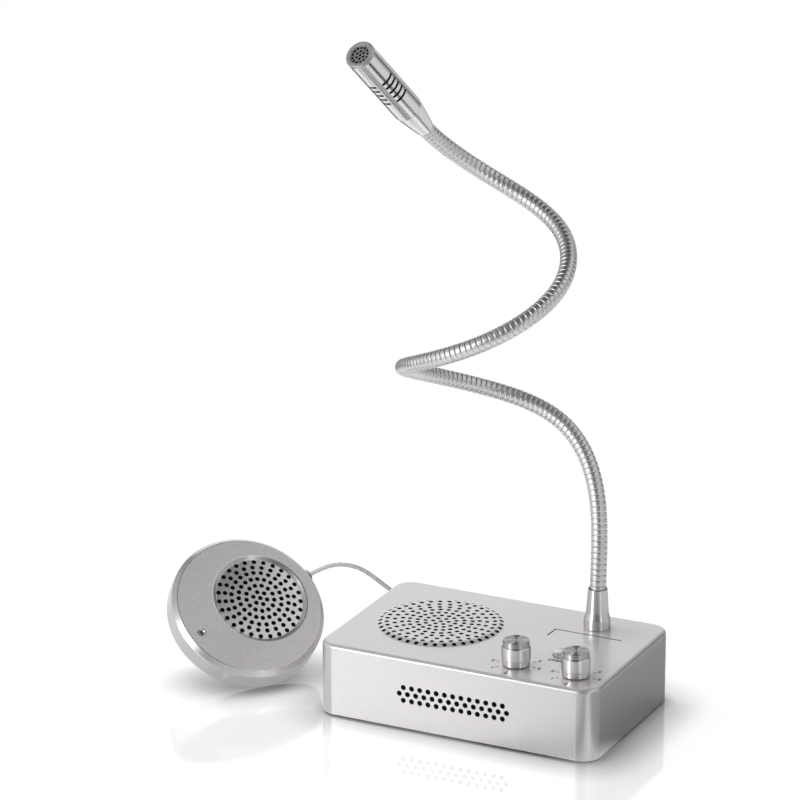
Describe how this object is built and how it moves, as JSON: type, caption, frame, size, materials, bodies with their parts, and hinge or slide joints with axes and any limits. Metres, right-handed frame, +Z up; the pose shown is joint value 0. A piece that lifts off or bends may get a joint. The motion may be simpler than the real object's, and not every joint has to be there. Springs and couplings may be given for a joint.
{
  "type": "teller window intercom",
  "caption": "Counter intercom with a speaker case, volume knobs, a power button, a microphone on a flexible neck and a round pod for the far side of the glass on a cord.",
  "frame": {"origin": "on the counter, at the middle of the box round the case, neck and pod", "axes": "+Z up, +X along the case to the teller's right, -Y towards the teller"},
  "size_m": [0.2707, 0.1616, 0.3774],
  "materials": {
    "case_paint": "fine satin silver paint on steel",
    "base_steel": "plain sheet",
    "foot_rubber": "matt black",
    "screw_steel": "zinc plated",
    "dust_cloth": "black woven dust cloth",
    "speaker_steel": "black coated pressing",
    "magnet_ferrite": "sintered, matt",
    "cone_paper": "black pressed paper",
    "board_laminate": "green glass-fibre laminate",
    "spacer_nylon": "natural nylon",
    "heat_sink_aluminium": "extruded",
    "capacitor_sleeve": "shrink sleeve",
    "pot_metal": "nickel plated",
    "jack_plastic": "black moulding",
    "neck_chrome": "bright chrome plate",
    "knob_plastic": "metal-look plated moulding",
    "knob_cap_aluminium": "spun, bright",
    "button_steel": "spun",
    "mic_chrome": "bright chrome plate",
    "mic_face_plastic": "grey satin",
    "foam": "open foam",
    "capsule_metal": "drawn can",
    "pod_paint": "fine satin silver paint",
    "pod_cover_plastic": "moulded",
    "pad_foam": "adhesive foam",
    "gland_plastic": "soft black",
    "cord_jacket": "clear jacket over a silver braid",
    "tie_plastic": "black strap",
    "plug_plastic": "black moulding",
    "plug_metal": "nickel plated"
  },
  "bodies": {
    "root": {"top_housing": "case_paint", "base_plate": "base_steel", "rubber_feet": "foot_rubber", "base_screws": "screw_steel", "case_pillars": "screw_steel", "grille_cloth": "dust_cloth", "front_cloth": "dust_cloth", "speaker_frame": "speaker_steel", "speaker_magnet": "magnet_ferrite", "speaker_cone": "cone_paper", "speaker_dust_cap": "cone_paper", "speaker_studs": "screw_steel", "speaker_nuts": "screw_steel", "main_board": "board_laminate", "board_spacers": "spacer_nylon", "heat_sink": "heat_sink_aluminium", "capacitors": "capacitor_sleeve", "inner_volume_pot": "pot_metal", "outer_volume_pot": "pot_metal", "pot_nuts": "screw_steel", "power_switch": "jack_plastic", "power_jack": "jack_plastic", "pod_jack": "jack_plastic", "neck_ferrule": "neck_chrome", "neck_washer": "screw_steel", "neck_nut": "screw_steel", "pod_shell": "pod_paint", "pod_back_cover": "pod_cover_plastic", "pod_speaker_frame": "speaker_steel", "pod_speaker_magnet": "magnet_ferrite", "pod_speaker_cone": "cone_paper", "pod_cloth": "dust_cloth", "pod_mic_capsule": "capsule_metal", "pod_screws": "screw_steel", "pod_pad": "pad_foam", "pod_gland": "gland_plastic", "cord_from_pod": "cord_jacket", "cord_coil": "cord_jacket", "cord_to_plug": "cord_jacket", "cord_tie": "tie_plastic", "pod_plug": "plug_plastic", "pod_plug_pin": "plug_metal", "neck_hose_1": "neck_chrome"},
    "inner_volume": {"inner_volume_knob": "knob_plastic", "inner_knob_cap": "knob_cap_aluminium", "inner_volume_shaft": "pot_metal"},
    "outer_volume": {"outer_volume_knob": "knob_plastic", "outer_knob_cap": "knob_cap_aluminium", "outer_volume_shaft": "pot_metal"},
    "power_button": {"power_button": "button_steel"},
    "neck_2": {"neck_hose_2": "neck_chrome"},
    "neck_3": {"neck_hose_3": "neck_chrome"},
    "neck_4": {"neck_hose_4": "neck_chrome"},
    "neck_5": {"neck_hose_5": "neck_chrome"},
    "neck_6": {"neck_hose_6": "neck_chrome", "mic_tail": "mic_chrome", "mic_body": "mic_chrome", "mic_face": "mic_face_plastic", "mic_foam": "foam", "mic_capsule": "capsule_metal"}
  },
  "joints": [
    {"name": "inner_volume_turn", "type": "hinge", "parent": "root", "child": "inner_volume", "pos_m": [0.0817, -0.0397, 0.0416], "axis": [0, 0, 1], "range_deg": [-150, 150]},
    {"name": "outer_volume_turn", "type": "hinge", "parent": "root", "child": "outer_volume", "pos_m": [0.1169, -0.0397, 0.0416], "axis": [0, 0, 1], "range_deg": [-150, 150]},
    {"name": "power_button_press", "type": "slide", "parent": "root", "child": "power_button", "axis": [0, 0, -1], "range_m": [0, 0.0015], "stiffness_N_per_m": 900, "springref_m": -0.001},
    {"name": "neck_bend_1", "type": "hinge", "parent": "root", "child": "neck_2", "pos_m": [0.09062, 0.04315, 0.11793], "axis": [-0.6918, -0.7221, 0], "range_deg": [-20, 20]},
    {"name": "neck_bend_2", "type": "hinge", "parent": "neck_2", "child": "neck_3", "pos_m": [0.02274, 0.04945, 0.16261], "axis": [0.2565, 0.1533, 0.9543], "range_deg": [-20, 20]},
    {"name": "neck_bend_3", "type": "hinge", "parent": "neck_3", "child": "neck_4", "pos_m": [0.00905, -0.02515, 0.19591], "axis": [0.7623, 0.6472, 0], "range_deg": [-20, 20]},
    {"name": "neck_bend_4", "type": "hinge", "parent": "neck_4", "child": "neck_5", "pos_m": [0.08256, -0.02619, 0.23427], "axis": [-0.2673, -0.3777, 0.8865], "range_deg": [-20, 20]},
    {"name": "neck_bend_5", "type": "hinge", "parent": "neck_5", "child": "neck_6", "pos_m": [0.05421, 0.03747, 0.27569], "axis": [-0.1511, -0.9885, 0], "range_deg": [-20, 20]}
  ]
}
